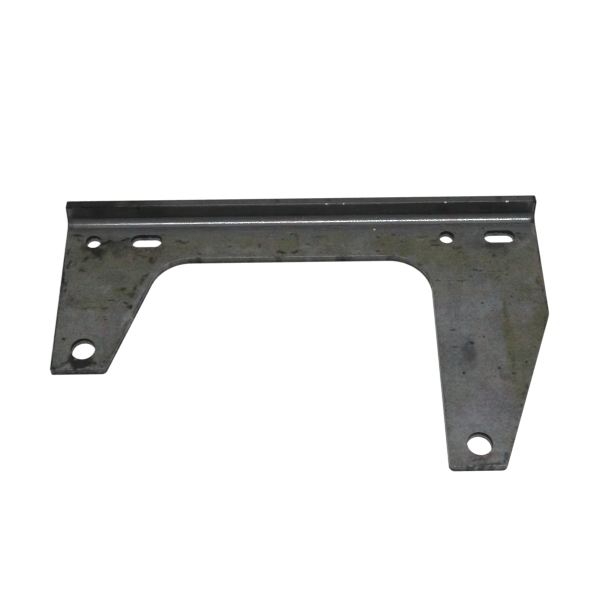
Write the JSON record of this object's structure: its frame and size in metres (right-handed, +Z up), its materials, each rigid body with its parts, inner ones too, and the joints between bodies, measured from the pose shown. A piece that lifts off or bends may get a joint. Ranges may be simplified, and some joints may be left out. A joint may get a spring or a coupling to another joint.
{
  "type": "stamped metal bracket",
  "caption": "Bent steel plate bracket: a flanged cross plate with a row of round and slotted bolt holes, and unequal legs that each end in a larger hole.",
  "frame": {"origin": "midway between the bolt row's two round holes, on the underside of the plate", "axes": "+X along the bend towards the long leg, +Y from the bolt row towards the flange, +Z up out of the plate"},
  "size_m": [0.2685, 0.1659, 0.0169],
  "materials": {
    "mill_steel": "hot-rolled steel with dark mill scale, oil stains and satin rubbed patches"
  },
  "bodies": {
    "root": {"bracket": "mill_steel"}
  },
  "joints": []
}
